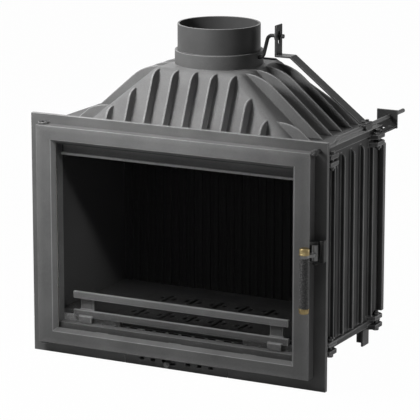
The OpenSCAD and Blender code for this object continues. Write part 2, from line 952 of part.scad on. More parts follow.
module damper_screw_places() {
    for (s = [-1, 1]) translate([s * (boss_x - 15), 0, 0]) children();
}

module damper_screws() {
    color(steel) translate([0, flue_y, shaft_z]) rotate([disc_tilt, 0, 0])
        damper_screw_places() {
            translate([0, 0, shaft_d / 2 + gap]) cylinder(d = 4, h = boss_r - shaft_d / 2);
            translate([0, 0, boss_r + gap]) cylinder(d = 7, h = 3);
        }
}

module damper_rod() {
    front = [rod_x, knob_y + 6, rod_front_z];
    bend_0 = [rod_x, joggle_0, rod_front_z];
    bend_1 = [rod_x, joggle_1, rod_z];
    rear = [rod_x, rod_end - rod_d, rod_z];
    color(steel) {
        bar(front, bend_0, rod_d, rod_d);
        bar(bend_0, bend_1, rod_d, rod_d);
        bar(bend_1, rear, rod_d, rod_d);
        translate(rear) rotate([-90, 0, 0]) cylinder(d = rod_d, h = rod_d);
    }
}

module damper_knob() {
    color(iron) translate([rod_x, knob_y, rod_front_z]) rotate([-90, 0, 0])
        rotate_extrude() difference() {
            polygon(concat([[0, 0]], bend([0, 0], [knob_r, 0], [knob_r, 4], 5),
                [[knob_r, knob_l - 2], [knob_r - 2, knob_l], [0, knob_l]]));
            translate([0, 6 - rod_d / 2]) square([rod_d / 2 + run, knob_l]);
        }
}

// Bent steel strip: an upright slotted end, a level run, a slope down and a foot on the rod
module yoke_strip() {
    r = strip_t / 2;
    level_x = strip_x + 35;
    foot_z = rod_z + rod_d / 2 + clamp_wall + r;
    foot_x = rod_x - 6;
    top = [strip_x, strip_top - r];
    low = [strip_x, strip_low];
    color(steel) difference() {
        slab_xz(pin_y, strip_w) {
            link(top, low, r);
            link(low, [level_x, strip_low], r);
            link([level_x, strip_low], [foot_x, foot_z], r);
            link([foot_x, foot_z], [rod_x + 9, foot_z], r);
        }
        slab_yz(strip_x, strip_t + 8)
            link([pin_y, slot_z0 + slot_w / 2], [pin_y, slot_z1 - slot_w / 2], slot_w / 2);
        clamp_screw_places() cylinder(d = 4 + 2 * bolt_play, h = 40, center = true);
    }
}

module clamp_screw_places() {
    for (s = [-1, 1])
        translate([rod_x, pin_y + s * (strip_w / 2 - 5), rod_z + rod_d / 2 + clamp_wall]) children();
}

// Block under the strip's foot with the rod through it
module yoke_clamp() {
    color(steel) difference() {
        box([rod_x - clamp_w / 2, pin_y - strip_w / 2, rod_z - rod_d / 2 - clamp_wall],
            [rod_x + clamp_w / 2, pin_y + strip_w / 2, rod_z + rod_d / 2 + clamp_wall]);
        translate([rod_x, pin_y - strip_w, rod_z])
            rotate([-90, 0, 0]) cylinder(d = rod_d + 2 * run, h = 2 * strip_w);
        clamp_screw_places() translate([0, 0, -clamp_wall - 1]) cylinder(d = 4 + 2 * run, h = clamp_wall + 2);
    }
}

// Screws through the strip's foot, whose points press on the rod
module clamp_screws() {
    color(steel) clamp_screw_places() {
        translate([0, 0, strip_t]) cylinder(d = 8, h = 3.5);
        translate([0, 0, 0.1 - clamp_wall]) cylinder(d = 4, h = strip_t + clamp_wall);
    }
}

module rod_bracket() {
    z0 = high_plate_lug + lug_t;
    color(steel) difference() {
        union() {
            box([rod_x - bracket_in, bracket_y, z0],
                [rod_x - bracket_in + bracket_w, bracket_y + bracket_t, z0 + bracket_h]);
            box([half + 1 + gap, lug_rear_y - lug_tip + 1, z0],
                [half + 1 + bracket_foot, bracket_y + 1, z0 + bracket_t]);
        }
        translate([rod_x, bracket_y - 1, rod_z])
            rotate([-90, 0, 0]) cylinder(d = rod_d + rod_hole, h = bracket_t + 2);
        translate([bolt_x, lug_rear_y, z0 - 1]) cylinder(d = bolt_d + 2 * bolt_play, h = bracket_t + 2);
    }
}

module log_guard() {
    upper = hearth_z + guard_up;
    lower = base_z + guard_low;
    foot_z = base_z + gap;
    block_x = guard_x - guard_end;
    color(light_iron) {
        for (z = [lower, upper])
            box([-guard_x, guard_y, z], [guard_x, guard_y + guard_t, z + guard_bar_h]);
        both() {
            box([block_x - guard_block, guard_y - 4.5, foot_z], [block_x, guard_y + 1, lower + 3.5]);
            box([block_x - guard_block, guard_y + guard_t - 1, hearth_z + gap],
                [block_x, guard_y + guard_t + 6, upper + guard_bar_h - 4]);
        }
    }
}

module door_frame() {
    color(iron) difference() {
        union() {
            box([hinge_x, door_front, door_z0], [door_x, door_back, door_z1]);
            intersection() {
                box([-door_x, door_front, door_z0], [hinge_x + 1, door_back, door_z1]);
                union() {
                    box([-door_x, door_front, door_z0], [hinge_x + 1, hinge_y, door_z1]);
                    translate([hinge_x, hinge_y, door_z0]) cylinder(r = hinge_edge_r, h = door_z1 - door_z0);
                }
            }
        }
        window_block(0, door_front - 1, 0);
        hull() {
            window_block(0, door_front + bevel_d, door_front + bevel_d + 1);
            window_block(bevel_w, door_front - 1, door_front);
        }
        window_block(rebate_out, rebate_y, 0);
        window_block(step_out, step_y, 0);
        window_ring(rope_out, rope_out + rope_w, door_back - rope_groove, 0);
        clip_screw_places() rotate([90, 0, 0]) cylinder(d = clip_screw_d + 2 * run, h = 8);
        for (z = [door_z0 - 1, door_z1 - pin_in])
            translate([hinge_x, hinge_y, z]) cylinder(d = hinge_pin_d + 2 * run, h = pin_in + 1);
    }
}

module door_glass() {
    color([0.1, 0.1, 0.1, 0.35]) window_block(glass_lap, glass_y, step_y);
}

module glass_seal() {
    color(rope) window_ring(1.5, glass_lap, rebate_y, glass_y);
}

module door_seal() {
    color(rope) window_ring(rope_out + gap, rope_out + rope_w - gap, door_back - rope_groove, -gap);
}

// Middle of each clip at the edge of the window, on the step that carries the clips
module clip_places() {
    mid_z = (win_z0 + win_z1) / 2;
    for (s = [-1, 1]) {
        for (z = [mid_z - clip_up, mid_z + clip_up])
            translate([s * win_x, step_y, z]) rotate([0, s > 0 ? 0 : 180, 0]) children();
        for (x = [-clip_side, 0, clip_side])
            translate([x, step_y, s > 0 ? win_z1 : win_z0]) rotate([0, s > 0 ? -90 : 90, 0]) children();
    }
}

module clip_screw_places() {
    clip_places() translate([clip_screw_out, 0, 0]) children();
}

module glass_clips() {
    color(steel) difference() {
        clip_places() box([clip_in, 0, -clip_w / 2], [step_out - gap, clip_t, clip_w / 2]);
        clip_screw_places() rotate([90, 0, 0]) cylinder(d = clip_screw_d + 2 * bolt_play, h = 3 * clip_t, center = true);
    }
}

module clip_screws() {
    color(steel) clip_screw_places() rotate([90, 0, 0]) {
        translate([0, 0, -clip_t]) cylinder(d = clip_screw_d, h = clip_t + 7);
        translate([0, 0, -clip_t - 1.6]) cylinder(d = 6, h = 1.6);
    }
}

module hinge_pins() {
    color(steel) {
        translate([hinge_x, hinge_y, door_z0 - lug_gap - lug_plate_t - 1])
            cylinder(d = hinge_pin_d, h = pin_in + lug_gap + lug_plate_t);
        translate([hinge_x, hinge_y, door_z1 - pin_in + 1])
            cylinder(d = hinge_pin_d, h = pin_in + lug_gap + lug_plate_t);
    }
}

module hinge_lugs() {
    color(iron) for (z = [door_z0 - lug_gap - lug_plate_t, door_z1 + lug_gap])
        translate([0, 0, z]) linear_extrude(lug_plate_t) difference() {
            union() {
                translate([hinge_x, hinge_y]) circle(hinge_pin_d / 2 + 5);
                translate([hinge_x - 10, hinge_y]) square([20, -hinge_y]);
            }
            translate([hinge_x, hinge_y]) circle(d = hinge_pin_d + 2 * run);
        }
}

// Two ears on the side of the door that hold the latch pin
module latch_bracket() {
    color(iron) difference() {
        for (z = [hub_z0 - gap - ear_t, hub_z1 + gap]) translate([0, 0, z])
            linear_extrude(ear_t) {
                translate([latch_x, latch_y]) circle(hub_r + 0.5);
                translate([door_x, latch_y - hub_r - 0.5]) square([latch_x - door_x, 2 * hub_r + 1]);
            }
        translate([latch_x, latch_y, 0]) cylinder(d = latch_pin_d + 2 * run, h = frame_h);
    }
}

module latch_pin() {
    z0 = hub_z0 - gap - ear_t;
    color(steel) translate([latch_x, latch_y, z0]) {
        cylinder(d = latch_pin_d, h = hub_z1 + gap + ear_t - z0 + 1);
        translate([0, 0, -2]) cylinder(d = latch_pin_d + 3, h = 2);
    }
}

module latch_arm() {
    hub = [latch_x, latch_y];
    grip = [grip_x, -grip_out];
    elbow = hub + [1, -elbow_out];
    nose = hub + nose_reach * [cos(nose_angle), sin(nose_angle)];
    color([0.55, 0.55, 0.56]) difference() {
        union() {
            translate([hub[0], hub[1], hub_z0]) cylinder(r = hub_r, h = hub_z1 - hub_z0);
            translate([0, 0, nose_z]) linear_extrude(nose_h) link(hub, nose, nose_r);
            translate([0, 0, eye_z]) linear_extrude(eye_t) {
                strut(hub, elbow, arm_r);
                translate(elbow) circle(elbow_r);
                strut(elbow, grip, arm_r);
            }
            translate([0, 0, eye_z]) linear_extrude(eye_t) translate(grip) circle(grip_d / 2 - 1);
        }
        translate([hub[0], hub[1], 0]) cylinder(d = latch_pin_d + 2 * run, h = frame_h);
        translate([grip[0], grip[1], 0]) cylinder(d = core_d + 2 * run, h = frame_h);
    }
}

module at_grip(z) {
    translate([grip_x, -grip_out, z]) children();
}

module grip_core() {
    color(steel) at_grip(sleeve_z - cap_low_h + 4)
        cylinder(d = core_d, h = grip_top - sleeve_z + cap_low_h - 8);
}

module grip_sleeve() {
    color([0.2, 0.2, 0.21]) at_grip(sleeve_z) difference() {
        cylinder(d = grip_d, h = grip_l);
        translate([0, 0, -1]) cylinder(d = core_d + 2 * run, h = grip_l + 2);
    }
}

// Turned cap with a bead at its open end and a blind hole for the core
module grip_cap(h) {
    r = grip_d / 2;
    rotate_extrude() difference() {
        polygon(concat([[0, 0], [r, 0]], bend([r, 0], [r + 1, 1.5], [r, 3], 4),
            [[r - 2, 4]], bend([r - 2, 4], [r - 1, h - 1], [r - 5, h], 5), [[0, h]]));
        translate([0, -1]) square([core_d / 2 + run, h - 3 + run]);
    }
}

module grip_cap_top() {
    color(brass) at_grip(eye_z + eye_t) grip_cap(cap_top_h);
}

module grip_cap_bottom() {
    color(brass) at_grip(sleeve_z) mirror([0, 0, 1]) grip_cap(cap_low_h);
}

// Catch beside the door: the latch nose turns in behind its lip
module latch_keeper() {
    color(iron) translate([0, 0, keeper_z0]) linear_extrude(keeper_z1 - keeper_z0)
        polygon([[frame_w / 2 - 4, 0], [frame_w / 2, 0], [frame_w / 2, lip_y - lip_t + 2],
            [frame_w / 2 - 2, lip_y - lip_t], [lip_x, lip_y - lip_t], [lip_x, lip_y],
            [frame_w / 2 - 4, lip_y]]);
}

in_place() front_frame();
in_place() base_plate();
in_place() top_plate();
in_place() side_wall_left();
in_place() side_wall_right();
in_place() back_wall();
in_place() hood();
in_place() flue_collar();
in_place() flue_spigot();
in_place() side_lining_left();
in_place() side_lining_right();
in_place() back_lining();
in_place() hearth_plate();
in_place() baffle_plate();
in_place() air_wash_bar();
in_place() feet();
in_place() corner_bolts();
in_place() corner_nuts();
in_place() frame_bolts();
in_place() hood_bolts();
in_place() ash_box();
in_place() ash_pan();
in_place() air_duct();
in_place() air_panel();
in_place() hinge_lugs();
in_place() latch_keeper();
in_place() rod_bracket();
in_place() grate();
in_place() log_guard();
in_place() door_frame();
in_place() door_glass();
in_place() glass_seal();
in_place() door_seal();
in_place() glass_clips();
in_place() clip_screws();
in_place() hinge_pins();
in_place() latch_bracket();
in_place() latch_pin();
in_place() latch_arm();
in_place() grip_core();
in_place() grip_sleeve();
in_place() grip_cap_top();
in_place() grip_cap_bottom();
in_place() air_slider();
in_place() air_knob();
in_place() damper_rod();
in_place() damper_knob();
in_place() yoke_strip();
in_place() yoke_clamp();
in_place() clamp_screws();
in_place() damper_shaft();
in_place() damper_plate();
in_place() damper_screws();
in_place() crank_washer();
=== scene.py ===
import json
import math

import bpy
from mathutils import Matrix, Vector

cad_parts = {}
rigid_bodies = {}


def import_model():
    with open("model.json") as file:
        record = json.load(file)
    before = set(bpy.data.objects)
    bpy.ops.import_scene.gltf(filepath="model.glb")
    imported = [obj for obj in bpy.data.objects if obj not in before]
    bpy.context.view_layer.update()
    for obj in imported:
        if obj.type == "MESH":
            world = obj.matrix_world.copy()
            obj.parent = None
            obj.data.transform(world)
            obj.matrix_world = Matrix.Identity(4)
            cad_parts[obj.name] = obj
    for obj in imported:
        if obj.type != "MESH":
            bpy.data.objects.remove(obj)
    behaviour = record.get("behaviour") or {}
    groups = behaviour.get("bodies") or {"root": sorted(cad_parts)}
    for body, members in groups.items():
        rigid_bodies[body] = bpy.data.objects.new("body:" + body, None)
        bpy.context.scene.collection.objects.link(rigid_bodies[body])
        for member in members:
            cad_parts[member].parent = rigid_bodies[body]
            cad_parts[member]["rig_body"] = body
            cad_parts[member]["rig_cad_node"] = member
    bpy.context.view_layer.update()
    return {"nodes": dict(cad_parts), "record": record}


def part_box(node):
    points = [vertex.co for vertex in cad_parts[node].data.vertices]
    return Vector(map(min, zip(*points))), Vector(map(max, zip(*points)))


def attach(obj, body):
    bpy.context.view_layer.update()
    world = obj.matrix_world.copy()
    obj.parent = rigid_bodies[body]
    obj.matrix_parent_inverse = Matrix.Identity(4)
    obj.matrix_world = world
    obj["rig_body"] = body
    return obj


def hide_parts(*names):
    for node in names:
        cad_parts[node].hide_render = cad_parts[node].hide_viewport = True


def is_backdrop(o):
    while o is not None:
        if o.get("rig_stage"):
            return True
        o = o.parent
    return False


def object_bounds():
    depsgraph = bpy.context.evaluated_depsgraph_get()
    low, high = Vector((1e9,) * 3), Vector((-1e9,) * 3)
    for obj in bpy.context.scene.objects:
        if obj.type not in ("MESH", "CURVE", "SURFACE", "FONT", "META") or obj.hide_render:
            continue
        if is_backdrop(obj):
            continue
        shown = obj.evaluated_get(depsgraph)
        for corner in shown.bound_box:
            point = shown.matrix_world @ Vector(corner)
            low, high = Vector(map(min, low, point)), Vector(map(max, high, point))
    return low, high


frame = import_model()
nodes = frame["nodes"]
scene = bpy.context.scene
MM = 0.001

# The photograph's view: where the camera stands, what it looks at and its lens
CAMERA_PLACE = Vector((2.6170, -5.0442, 1.6613))
CAMERA_AIM = Vector((0.0830, -0.1842, 0.3639))
CAMERA_LENS = 228.8
# Width of the studio floor, and how far the camera sees
STUDIO_SIZE = 60


def look(place, aim):
    """Rotation of a camera or lamp that stands at place and looks at aim."""
    return (aim - place).to_track_quat("-Z", "Y").to_euler()


bpy.ops.object.camera_add(location=CAMERA_PLACE, rotation=look(CAMERA_PLACE, CAMERA_AIM))
camera = bpy.context.object
camera.data.lens = CAMERA_LENS
camera.data.clip_end = STUDIO_SIZE
scene.camera = camera
scene.view_settings.view_transform = "Standard"


def hex_colour(code):
    """An sRGB hex colour as the linear colour that a shader takes."""
    channels = [int(code[i : i + 2], 16) / 255 for i in (0, 2, 4)]
    linear = [c / 12.92 if c <= 0.04045 else ((c + 0.055) / 1.055) ** 2.4 for c in channels]
    return (*linear, 1.0)


def add(tree, kind, settings=None, links=None):
    """Adds one shader node. settings are its options or plain inputs, links the inputs that nodes feed."""
    made = tree.nodes.new("ShaderNode" + kind)
    for name, value in (settings or {}).items():
        if isinstance(name, str) and hasattr(made, name):
            setattr(made, name, value)
        else:
            made.inputs[name].default_value = value
    for name, source in (links or {}).items():
        tree.links.new(source, made.inputs[name])
    return made


def new_material(name, **looks):
    """A material with one Principled shader. Returns it, its tree, its shader and object coordinates."""
    made = bpy.data.materials.new(name)
    made.use_nodes = True
    tree = made.node_tree
    tree.nodes.clear()
    shader = add(tree, "BsdfPrincipled", {word.replace("_", " "): value for word, value in looks.items()})
    add(tree, "OutputMaterial", links={"Surface": shader.outputs["BSDF"]})
    where = add(tree, "TexCoord").outputs["Object"]
    return made, tree, shader, where


def ramp(tree, source, stops):
    """A colour ramp over source with stops of (position, hex colour)."""
    made = add(tree, "ValToRGB", links={"Fac": source})
    points = made.color_ramp.elements
    while len(points) < len(stops):
        points.new(0.5)
    for point, (position, code) in zip(points, stops):
        point.position = position
        point.color = hex_colour(code)
    return made.outputs["Color"]


def grain(size_mm):
    """Noise scale at which one blotch is about size_mm wide."""
    return 1 / (size_mm * MM)


# Stove paint is a matt coat with faint clouds. The sand's grain shows through it as specks, which
# are drawn coarser than real sand so that they show, and corners are paler: rubbed paint with a painted
# highlight.
CLOUD_MM = 70
SPECK_SHARE = 0.4
WEAR_HIGHLIGHT_WIDTH = 0.08
WEAR_HIGHLIGHT_STRENGTH = 1.4
GRAIN_HEIGHT_MM = 0.25


def stove_paint(name, dark, mid, pale, wear_and_highlight, sand_mm, rough, wear_highlight_from=0.54):
    """Paint from dark to pale with specks of sand_mm, paler where the surface is sharper than
    wear_highlight_from: rubbed paint and a painted highlight.
    """
    made, tree, shader, where = new_material(name, Specular_IOR_Level=0.08)
    clouds = add(tree, "TexNoise", {"Scale": grain(CLOUD_MM), "Detail": 3.0}, {"Vector": where})
    specks = add(tree, "TexNoise", {"Scale": grain(sand_mm), "Detail": 2.0}, {"Vector": where})
    blend = add(tree, "Mix", {"data_type": "FLOAT", 0: SPECK_SHARE},
                {2: clouds.outputs["Fac"], 3: specks.outputs["Fac"]})
    coat = ramp(tree, blend.outputs[0], [(0.35, dark), (0.5, mid), (0.66, pale)])
    face = add(tree, "NewGeometry")
    # Sharp edges take the pale colour: rubbed paint with a painted highlight
    wear_highlight = add(tree, "MapRange",
              {"From Min": wear_highlight_from, "From Max": wear_highlight_from + WEAR_HIGHLIGHT_WIDTH, "To Max": WEAR_HIGHLIGHT_STRENGTH},
              {"Value": face.outputs["Pointiness"]})
    patchy_wear_highlight = add(tree, "Math", {"operation": "MULTIPLY"},
                 {0: wear_highlight.outputs["Result"], 1: specks.outputs["Fac"]})
    colour = add(tree, "Mix", {"data_type": "RGBA", 7: hex_colour(wear_and_highlight)},
                 {0: patchy_wear_highlight.outputs["Value"], 6: coat})
    shine = add(tree, "MapRange", {"To Min": rough - 0.06, "To Max": rough + 0.08},
                {"Value": specks.outputs["Fac"]})
    bumps = add(tree, "Bump", {"Strength": 0.35, "Distance": GRAIN_HEIGHT_MM * MM},
                {"Height": specks.outputs["Fac"]})
    tree.links.new(colour.outputs[2], shader.inputs["Base Color"])
    tree.links.new(shine.outputs["Result"], shader.inputs["Roughness"])
    tree.links.new(bumps.outputs["Normal"], shader.inputs["Normal"])
    return made


# Stove paint on the smooth-cast frame, door, air panel and log guard: soft, even and mid grey
frame_paint = stove_paint("stove_paint_on_cast_frame", "575757", "5e5e5e", "656565", "969696", 1.6, 0.48)

# Stove paint on the rougher plates of the body: a shade darker, with coarser specks
body_paint = stove_paint("stove_paint_on_cast_body", "454545", "4c4c4c", "535353", "b0b0b0", 2.2, 0.5)

# Stove paint on the ribbed side walls: darker than on the body's plates, as painted shade on the walls'
# faces, so that the ribs' edges, rubbed and with a painted highlight, stand out
wall_paint_darkened_as_shade = stove_paint("stove_paint_on_ribbed_walls", "3c3c3c", "434343", "494949", "e6e6e6", 2.2, 0.5)

# Cast iron lining painted almost black and quite matt: painted shade, so the firebox looks deep
lining_paint_darkened_as_shade = stove_paint("sooted_cast_lining", "070707", "0a0a0a", "0e0e0e", "1c1c1c", 2.5, 0.8)

# Stove paint on the left lining: dark grey, which shows the light that falls in through the window
lit_lining = stove_paint("stove_paint_on_side_lining", "262626", "2b2b2b", "303030", "3a3a3a", 2.5, 0.7)

# Stove paint on rolled steel: smoother than on castings, so its specks are finer and it shines more
steel_paint = stove_paint("stove_paint_on_rolled_steel", "3b3b3b", "424242", "4a4a4a", "7a7a7a", 0.9, 0.42)

# Stove paint on the cast hood and air wash bar: the palest coat, paled as painted light where light falls
# on the hood's upward slopes and as a lit strip on the bar behind the glass, with the fins' edges rubbed
# and given a painted highlight
hood_paint_paled_as_light = stove_paint("stove_paint_on_cast_hood", "646464", "6c6c6c", "757575", "d8d8d8", 2.2, 0.5, 0.52)

# Stove paint on the cast flue pipe, turned smooth: dark, with a soft band of light on the left
flue_paint = stove_paint("stove_paint_on_flue_pipe", "454545", "4b4b4b", "525252", "9a9a9a", 0.9, 0.45)

# Stove paint on the cast flue collar: a shade paler than the pipe, so the two read as two pieces
collar_paint = stove_paint("stove_paint_on_flue_collar", "525252", "595959", "606060", "9c9c9c", 1.6, 0.5)

# Stove paint on the hearth and grate, darkened as painted shade deep in the firebox: dark and rough, so
# that the slots just show
hearth_paint_darkened_as_shade = stove_paint("stove_paint_on_hearth", "202020", "272727", "2e2e2e", "606060", 2.0, 0.6)

# Paint rubbed thin on the edges of the frame, door, flue and steel parts, with a painted highlight
# along them, and all over the air knob as painted light: a pale grey line or spot
frame_wear_and_highlight = stove_paint("rubbed_paint_on_frame_edges", "757575", "7e7e7e", "888888", "a0a0a0", 1.6, 0.42)

# Paint rubbed thin on the edges of the body's plates, with a painted highlight: paler still, as their faces
# are darker
body_edge_wear_and_highlight = stove_paint("rubbed_paint_on_body_edges", "828282", "8c8c8c", "969696", "b0b0b0", 1.6, 0.42)

# Paint rubbed thin on the ribs of the side walls, with a painted highlight: the palest edge, which draws
# each rib as a line
rib_edge_wear_and_highlight = stove_paint("rubbed_paint_on_rib_edges", "8e8e8e", "989898", "a2a2a2", "c0c0c0", 1.6, 0.42)

# Paint darkened to near black on the latch keeper and the latch bracket, as painted shade where the door's
# shadow falls: dark against the frame behind them
latch_painted_shade = stove_paint("stove_paint_on_keeper", "1c1c1c", "232323", "2b2b2b", "6e6e6e", 1.6, 0.5)


def bare_steel(name, code, rough):
    """Steel whose fine scratches, drawn coarse enough to show, spread its shine unevenly."""
    made, tree, shader, where = new_material(name, Metallic=1.0, Base_Color=hex_colour(code))
    scratches = add(tree, "TexNoise", {"Scale": grain(0.8), "Detail": 4.0}, {"Vector": where})
    shine = add(tree, "MapRange", {"To Min": rough - 0.1, "To Max": rough + 0.12},
                {"Value": scratches.outputs["Fac"]})
    tree.links.new(shine.outputs["Result"], shader.inputs["Roughness"])
    return made


# Zinc-plated steel of the grip's core: a dull silver, the brightest metal
zinc = bare_steel("zinc_plated_steel", "8c8c8c", 0.38)

# Blackened steel of bolts, nuts, screws and pins: dark, with small soft highlights on the flats
black_bolt = bare_steel("blackened_bolt_steel", "3a3a3a", 0.42)

# Cast steel of the latch arm: mid grey metal, worn dull by the hand
latch_steel = bare_steel("cast_latch_steel", "5e5e5e", 0.48)

# Drawn steel of the damper rod: dull grey, with a long soft streak of light
rod_steel = bare_steel("dull_drawn_rod_steel", "525252", 0.5)

# Ceramic glass: clear and slightly smoky, so the firebox shows dark behind a faint reflection
ceramic = new_material("ceramic_glass", Base_Color=hex_colour("060606"), Roughness=0.03, Alpha=0.06,
                       Specular_IOR_Level=0.15)[0]


def patterned(name, pattern, settings, output, stops, **looks):
    """A material whose colour follows the stops as one output of a pattern does."""
    made, tree, shader, where = new_material(name, **looks)
    drawn = add(tree, pattern, settings, {"Vector": where})
    tree.links.new(ramp(tree, drawn.outputs[output], stops), shader.inputs["Base Color"])
    return made


# Aged brass of the grip's caps: a muted yellow-brown metal, darker where no hand polishes it
brass = patterned("aged_brass", "TexNoise", {"Scale": grain(14), "Detail": 2.0}, "Fac",
                  [(0.3, "5e5036"), (0.7, "94855f")], Metallic=0.9, Roughness=0.42)

# Wound heat-proof fibre of the grip: dark and mottled, so that it breaks the light into specks
grip = patterned("wound_fibre_grip", "TexVoronoi", {"Scale": grain(3)}, "Distance",
                 [(0.1, "1d1d1d"), (0.5, "333333"), (0.8, "565656")], Roughness=0.6, Specular_IOR_Level=0.3)

# Glass fibre rope of the seals: a soft grey-white braid
rope = patterned("glass_fibre_rope", "TexWave", {"Scale": grain(5), "Distortion": 2.0}, "Fac",
                 [(0.2, "6c6a66"), (0.8, "aeaba4")], Roughness=0.95)

# The finish of each material slot, the nodes that differ from it, and the finish of edges, which is rubbed
# paint with a painted highlight
SLOT_FINISH = {
    "painted_iron": body_paint,
    "lining_iron": lining_paint_darkened_as_shade,
    "painted_steel": steel_paint,
    "bolt_steel": black_bolt,
    "ceramic_glass": ceramic,
    "glass_rope": rope,
    "plated_steel": zinc,
    "grip_composite": grip,
    "brass_cap": brass,
}
NODE_FINISH = {
    "front_frame": frame_paint,
    "door_frame": frame_paint,
    "air_panel": frame_paint,
    "log_guard": frame_paint,
    "latch_keeper": latch_painted_shade,
    "latch_bracket": latch_painted_shade,
    "latch_arm": latch_steel,
    "damper_rod": rod_steel,
    "hood": hood_paint_paled_as_light,
    "air_wash_bar": hood_paint_paled_as_light,
    "side_wall_left": wall_paint_darkened_as_shade,
    "side_wall_right": wall_paint_darkened_as_shade,
    "flue_collar": collar_paint,
    "flue_spigot": flue_paint,
    # The air knob takes the pale edge paint all over: painted light on a knob that sits in shade
    "air_knob": frame_wear_and_highlight,
    "side_lining_left": lit_lining,
    "hearth_plate": hearth_paint_darkened_as_shade,
    "grate": hearth_paint_darkened_as_shade,
}
EDGE_WEAR_AND_HIGHLIGHT = {
    frame_paint.name: frame_wear_and_highlight,
    body_paint.name: body_edge_wear_and_highlight,
    wall_paint_darkened_as_shade.name: rib_edge_wear_and_highlight,
    collar_paint.name: frame_wear_and_highlight,
    flue_paint.name: frame_wear_and_highlight,
    steel_paint.name: frame_wear_and_highlight,
}
slot_of = {row["node"]: row["material_slot"] for row in frame["record"]["subparts"]}


def finish(piece, made):
    """Gives a piece one material all over."""
    piece.data.materials.clear()
    piece.data.materials.append(made)
    for face in piece.data.polygons:
        face.material_index = 0


def finish_of(node):
    """The finish that a node and its stand-in have."""
    return NODE_FINISH.get(node) or SLOT_FINISH[slot_of[node]]


for name, piece in nodes.items():
    finish(piece, finish_of(name))


def pick(piece):
    """Makes piece the only selected and active object."""
    bpy.ops.object.select_all(action="DESELECT")
    piece.select_set(True)
    bpy.context.view_layer.objects.active = piece


def stand_in(piece, node, body):
    """Makes a piece move with a body, and hides the CAD node that it stands for."""
    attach(piece, body)
    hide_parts(node)


# Corners closer than the first are merged. Triangles that meet flatter than the second are joined
# in pairs, where that makes a quad whose corners are off square by less than the third.
MERGE_MM = 0.01
FLAT_ANGLE = math.radians(0.5)
SKEW_ANGLE = math.radians(120)


def own_copy(node, suffix):
    """A merged copy of a CAD node that stands for it and moves with its body."""
    pick(nodes[node])
    bpy.ops.object.duplicate()
    piece = bpy.context.object
    piece.name = node + suffix
    body = piece["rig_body"]
    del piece["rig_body"]
    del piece["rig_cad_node"]
    bpy.ops.object.mode_set(mode="EDIT")
    bpy.ops.mesh.select_all(action="SELECT")
    bpy.ops.mesh.customdata_custom_splitnormals_clear()
    bpy.ops.mesh.remove_doubles(threshold=MERGE_MM * MM)
    bpy.ops.mesh.tris_convert_to_quads(face_threshold=FLAT_ANGLE, shape_threshold=SKEW_ANGLE)
    bpy.ops.object.mode_set(mode="OBJECT")
    stand_in(piece, node, body)
    return piece


def settle(piece, kind, **settings):
    """Applies one modifier of this kind to the piece."""
    pick(piece)
    change = piece.modifiers.new(kind.lower(), kind)
    for name, value in settings.items():
        setattr(change, name, value)
    bpy.ops.object.modifier_apply(modifier=change.name)


# Edges sharper than the first angle are rounded. Faces that meet flatter than the second shade as
# one, and so do those of a turned piece that meet flatter than the third.
SHARP_ANGLE = math.radians(38)
BLEND_ANGLE = math.radians(35)
TURNED_BLEND_ANGLE = math.radians(40)


def rounded(node, width_mm, steps=2, front_mm=-math.inf, back_mm=math.inf):
    """A copy of a node whose sharp edges are rounded where they lie between front_mm and back_mm."""
    piece = own_copy(node, "_rounded")
    bpy.ops.object.mode_set(mode="EDIT")
    bpy.ops.mesh.select_all(action="DESELECT")
    bpy.ops.mesh.select_mode(type="EDGE")
    bpy.ops.mesh.edges_select_sharp(sharpness=SHARP_ANGLE)
    bpy.ops.object.mode_set(mode="OBJECT")
    depth = [corner.co.y / MM for corner in piece.data.vertices]
    share = piece.data.attributes.new("bevel_weight_edge", "FLOAT", "EDGE").data
    for edge in piece.data.edges:
        inside = all(front_mm < depth[corner] < back_mm for corner in edge.vertices)
        share[edge.index].value = 1.0 if edge.select and inside else 0.0
    # The bevel's faces take a paler finish: rubbed paint with a painted highlight along each edge
    edge_wear_and_highlight = EDGE_WEAR_AND_HIGHLIGHT.get(piece.data.materials[0].name)
    if edge_wear_and_highlight:
        piece.data.materials.append(edge_wear_and_highlight)
    settle(piece, "BEVEL", width=width_mm * MM, segments=steps, limit_method="WEIGHT",
           use_clamp_overlap=False, loop_slide=False, material=1 if edge_wear_and_highlight else -1)
    pick(piece)
    bpy.ops.object.shade_smooth_by_angle(angle=BLEND_ANGLE)
    settle(piece, "WEIGHTED_NORMAL", keep_sharp=True, weight=100)
    return piece


# Castings have edges that the sand mould rounded, and the clamp block and the damper disc have
# edges that were dressed to match
for name, width_mm in {
    "door_frame": 0.9, "top_plate": 1.5,
    "side_wall_left": 2.0, "side_wall_right": 2.0, "back_wall": 2.0, "feet": 1.0,
    "flue_collar": 1.2, "grate": 1.2, "log_guard": 2.2, "hearth_plate": 1.0,
    "air_panel": 0.6, "latch_keeper": 0.6, "latch_arm": 1.0, "latch_bracket": 0.6,
    "air_wash_bar": 0.8, "yoke_clamp": 0.7, "damper_plate": 0.6, "hinge_lugs": 0.6,
}.items():
    rounded(name, width_mm)

# The frame and the base plate meet edge to edge, and that closed edge stays sharp. The frame is
# rounded only near its front face, and the base plate only behind the throat.
FRAME_ROUNDED_MM = 12
BASE_SHARP_MM = 25
frame_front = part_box("front_frame")[0].y / MM
rounded("front_frame", 0.9, back_mm=frame_front + FRAME_ROUNDED_MM)
rounded("base_plate", 1.5, front_mm=frame_front + BASE_SHARP_MM)

# Turned, rolled and cut pieces keep crisper edges
for name, width_mm in {
    "flue_spigot": 0.8, "rod_bracket": 0.5, "yoke_strip": 0.5, "crank_washer": 0.4,
    "damper_rod": 0.5, "damper_shaft": 0.5, "damper_knob": 1.0, "air_knob": 0.5,
    "glass_clips": 0.5, "clip_screws": 0.4, "clamp_screws": 0.5, "corner_bolts": 0.7,
    "corner_nuts": 0.7, "frame_bolts": 0.7, "hood_bolts": 0.7,
}.items():
    rounded(name, width_mm)

